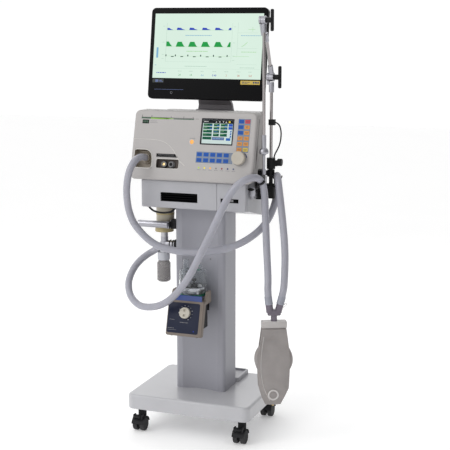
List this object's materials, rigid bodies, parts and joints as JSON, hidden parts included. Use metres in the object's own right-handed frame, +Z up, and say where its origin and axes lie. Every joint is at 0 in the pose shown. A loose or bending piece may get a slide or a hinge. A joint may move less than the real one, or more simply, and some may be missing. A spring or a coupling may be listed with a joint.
{
  "type": "mechanical ventilator",
  "caption": "Intensive-care ventilator on a wheeled column cart with monitor, support arm, humidifier, water trap, breathing hoses and test lung.",
  "frame": {"origin": "on the floor, under the centre of the footprint of everything but the hoses", "axes": "+Z up, the operator stands on the -Y side looking along +Y, +X to the operator's right"},
  "size_m": [0.6368, 0.4319, 1.5134],
  "materials": {
    "shell_white": "smooth painted shell",
    "shell_cream": "moulded front panel",
    "black_plastic": "gloss black",
    "matt_black": "matt black",
    "screen_glass": "lit display",
    "lcd_glass": "lit display",
    "key_blue": "membrane overlay",
    "lamp_amber": "lens",
    "chrome": "plated bar",
    "aluminium": "satin",
    "steel": "brushed",
    "painted_steel": "satin",
    "rubber_black": "moulded",
    "tyre_black": "moulded",
    "knob_cream": "moulded",
    "beige": "moulded housing",
    "guard_blue": "moulded",
    "clear": "clear plastic",
    "canister_cream": "moulded",
    "hose_grey": "milky silicone",
    "wye_smoke": "tinted translucent",
    "lung_skin": "milky translucent",
    "board_green": "circuit board"
  },
  "bodies": {
    "cart": {"base_slab": "shell_white", "rear_tray": "shell_white", "column_shell": "shell_white", "column_spine": "painted_steel", "cabinet_body": "shell_white", "cabinet_fascia": "shell_white", "cabinet_louvre": "matt_black", "battery_pack": "matt_black", "vent_bezel": "shell_cream", "vent_housing": "shell_cream", "lcd_module": "lcd_glass", "side_keypad": "key_blue", "lower_keypad": "key_blue", "front_lamps": "lamp_amber", "patient_port": "matt_black", "sensor_sockets": "matt_black", "blower": "aluminium", "main_board": "board_green", "monitor_stand": "aluminium", "side_rail": "aluminium", "rail_clamp": "matt_black", "accessory_post": "matt_black", "humidifier_body": "beige", "chamber_base": "steel", "chamber_dome": "clear", "expiratory_filter": "canister_cream", "filter_handle": "aluminium", "water_trap_valve": "aluminium", "inspiratory_hose": "hose_grey", "expiratory_hose": "hose_grey", "cabinet_cable": "rubber_black", "y_piece": "wye_smoke"},
    "caster_fl": {"caster_fl_fork": "matt_black"},
    "caster_fl_wheel_pair": {"caster_fl_wheels": "tyre_black"},
    "caster_fl_pedal": {"caster_fl_brake": "matt_black"},
    "caster_fr": {"caster_fr_fork": "matt_black"},
    "caster_fr_wheel_pair": {"caster_fr_wheels": "tyre_black"},
    "caster_fr_pedal": {"caster_fr_brake": "matt_black"},
    "caster_rl": {"caster_rl_fork": "matt_black"},
    "caster_rl_wheel_pair": {"caster_rl_wheels": "tyre_black"},
    "caster_rr": {"caster_rr_fork": "matt_black"},
    "caster_rr_wheel_pair": {"caster_rr_wheels": "tyre_black"},
    "monitor": {"monitor_bezel": "black_plastic", "monitor_screen": "screen_glass", "monitor_back": "matt_black", "monitor_hinge": "painted_steel"},
    "encoder_axle": {"encoder_shaft": "steel"},
    "encoder_dial": {"encoder_knob": "knob_cream"},
    "arm_mast": {"arm_lower_rod": "chrome", "arm_cable": "rubber_black"},
    "arm_boom": {"arm_upper_rod": "chrome"},
    "arm_dropper": {"arm_hanging_rod": "chrome"},
    "arm_tip": {"arm_ball_stub": "aluminium"},
    "mid_knob": {"arm_mid_knob": "matt_black"},
    "top_knob": {"arm_top_knob": "matt_black"},
    "clamp_knob": {"arm_clamp_knob": "matt_black"},
    "heat_dial": {"humidifier_dial": "knob_cream"},
    "chamber_guard": {"finger_guard": "guard_blue"},
    "trap_bottle": {"water_trap_bottle": "clear"},
    "lung": {"test_lung": "lung_skin"}
  },
  "joints": [
    {"name": "caster_fl_swivel", "type": "hinge", "parent": "cart", "child": "caster_fl", "pos_m": [-0.225, -0.14375, 0.06], "axis": [0, 0, 1], "continuous": true},
    {"name": "caster_fl_roll", "type": "hinge", "parent": "caster_fl", "child": "caster_fl_wheel_pair", "pos_m": [-0.225, -0.16175, 0.024], "axis": [1, 0, 0], "continuous": true},
    {"name": "caster_fl_brake_press", "type": "hinge", "parent": "caster_fl", "child": "caster_fl_pedal", "pos_m": [-0.225, -0.18425, 0.0595], "axis": [1, 0, 0], "range_deg": [0, 18]},
    {"name": "caster_fr_swivel", "type": "hinge", "parent": "cart", "child": "caster_fr", "pos_m": [0.161, -0.14375, 0.06], "axis": [0, 0, 1], "continuous": true},
    {"name": "caster_fr_roll", "type": "hinge", "parent": "caster_fr", "child": "caster_fr_wheel_pair", "pos_m": [0.161, -0.16175, 0.024], "axis": [1, 0, 0], "continuous": true},
    {"name": "caster_fr_brake_press", "type": "hinge", "parent": "caster_fr", "child": "caster_fr_pedal", "pos_m": [0.161, -0.18425, 0.0595], "axis": [1, 0, 0], "range_deg": [0, 18]},
    {"name": "caster_rl_swivel", "type": "hinge", "parent": "cart", "child": "caster_rl", "pos_m": [-0.225, 0.16125, 0.06], "axis": [0, 0, 1], "continuous": true},
    {"name": "caster_rl_roll", "type": "hinge", "parent": "caster_rl", "child": "caster_rl_wheel_pair", "pos_m": [-0.225, 0.14325, 0.024], "axis": [1, 0, 0], "continuous": true},
    {"name": "caster_rr_swivel", "type": "hinge", "parent": "cart", "child": "caster_rr", "pos_m": [0.161, 0.16125, 0.06], "axis": [0, 0, 1], "continuous": true},
    {"name": "caster_rr_roll", "type": "hinge", "parent": "caster_rr", "child": "caster_rr_wheel_pair", "pos_m": [0.161, 0.14325, 0.024], "axis": [1, 0, 0], "continuous": true},
    {"name": "monitor_tilt", "type": "hinge", "parent": "cart", "child": "monitor", "pos_m": [-0.032, 0.07525, 1.352], "axis": [1, 0, 0], "range_deg": [-10, 8]},
    {"name": "encoder_press", "type": "slide", "parent": "cart", "child": "encoder_axle", "axis": [0, 0.9657, -0.2598], "range_m": [0, 0.0012], "stiffness_N_per_m": 900, "springref_m": -0.001},
    {"name": "encoder_turn", "type": "hinge", "parent": "encoder_axle", "child": "encoder_dial", "pos_m": [0.1406, -0.13167, 1.0067], "axis": [0, -0.9657, 0.2598], "continuous": true},
    {"name": "arm_swivel", "type": "hinge", "parent": "cart", "child": "arm_mast", "pos_m": [0.218, -0.01125, 0.98], "axis": [0, 0, 1], "range_deg": [0, 120]},
    {"name": "arm_mid_fold", "type": "hinge", "parent": "arm_mast", "child": "arm_boom", "pos_m": [0.218, -0.00925, 1.277], "axis": [1, 0, 0], "range_deg": [-50, 0]},
    {"name": "arm_top_fold", "type": "hinge", "parent": "arm_boom", "child": "arm_dropper", "pos_m": [0.218, -0.09735, 1.47], "axis": [1, 0, 0], "range_deg": [-120, 0]},
    {"name": "arm_ball_tilt", "type": "hinge", "parent": "arm_dropper", "child": "arm_tip", "pos_m": [0.218, -0.08925, 1.027], "axis": [1, 0, 0], "range_deg": [-30, 30]},
    {"name": "arm_mid_knob_turn", "type": "hinge", "parent": "arm_mast", "child": "mid_knob", "pos_m": [0.238, -0.00925, 1.277], "axis": [1, 0, 0], "range_deg": [0, 180]},
    {"name": "arm_top_knob_turn", "type": "hinge", "parent": "arm_boom", "child": "top_knob", "pos_m": [0.238, -0.09735, 1.47], "axis": [1, 0, 0], "range_deg": [0, 180]},
    {"name": "arm_clamp_knob_turn", "type": "hinge", "parent": "arm_mast", "child": "clamp_knob", "pos_m": [0.248, -0.01125, 0.9835], "axis": [1, 0, 0], "range_deg": [0, 180]},
    {"name": "humidifier_dial_turn", "type": "hinge", "parent": "cart", "child": "heat_dial", "pos_m": [-0.038, -0.18434, 0.46056], "axis": [0, -0.9627, 0.2706], "range_deg": [-270, 0]},
    {"name": "finger_guard_press", "type": "slide", "parent": "cart", "child": "chamber_guard", "axis": [0, 0, -1], "range_m": [0, 0.012], "stiffness_N_per_m": 400, "springref_m": -0.004},
    {"name": "bottle_unscrew", "type": "hinge", "parent": "cart", "child": "trap_bottle", "pos_m": [-0.189, -0.01875, 0.606], "axis": [0, 0, 1], "range_deg": [0, 360]},
    {"name": "test_lung_swivel", "type": "hinge", "parent": "cart", "child": "lung", "pos_m": [0.277, -0.14675, 0.44], "axis": [0, 0, 1], "continuous": true}
  ]
}
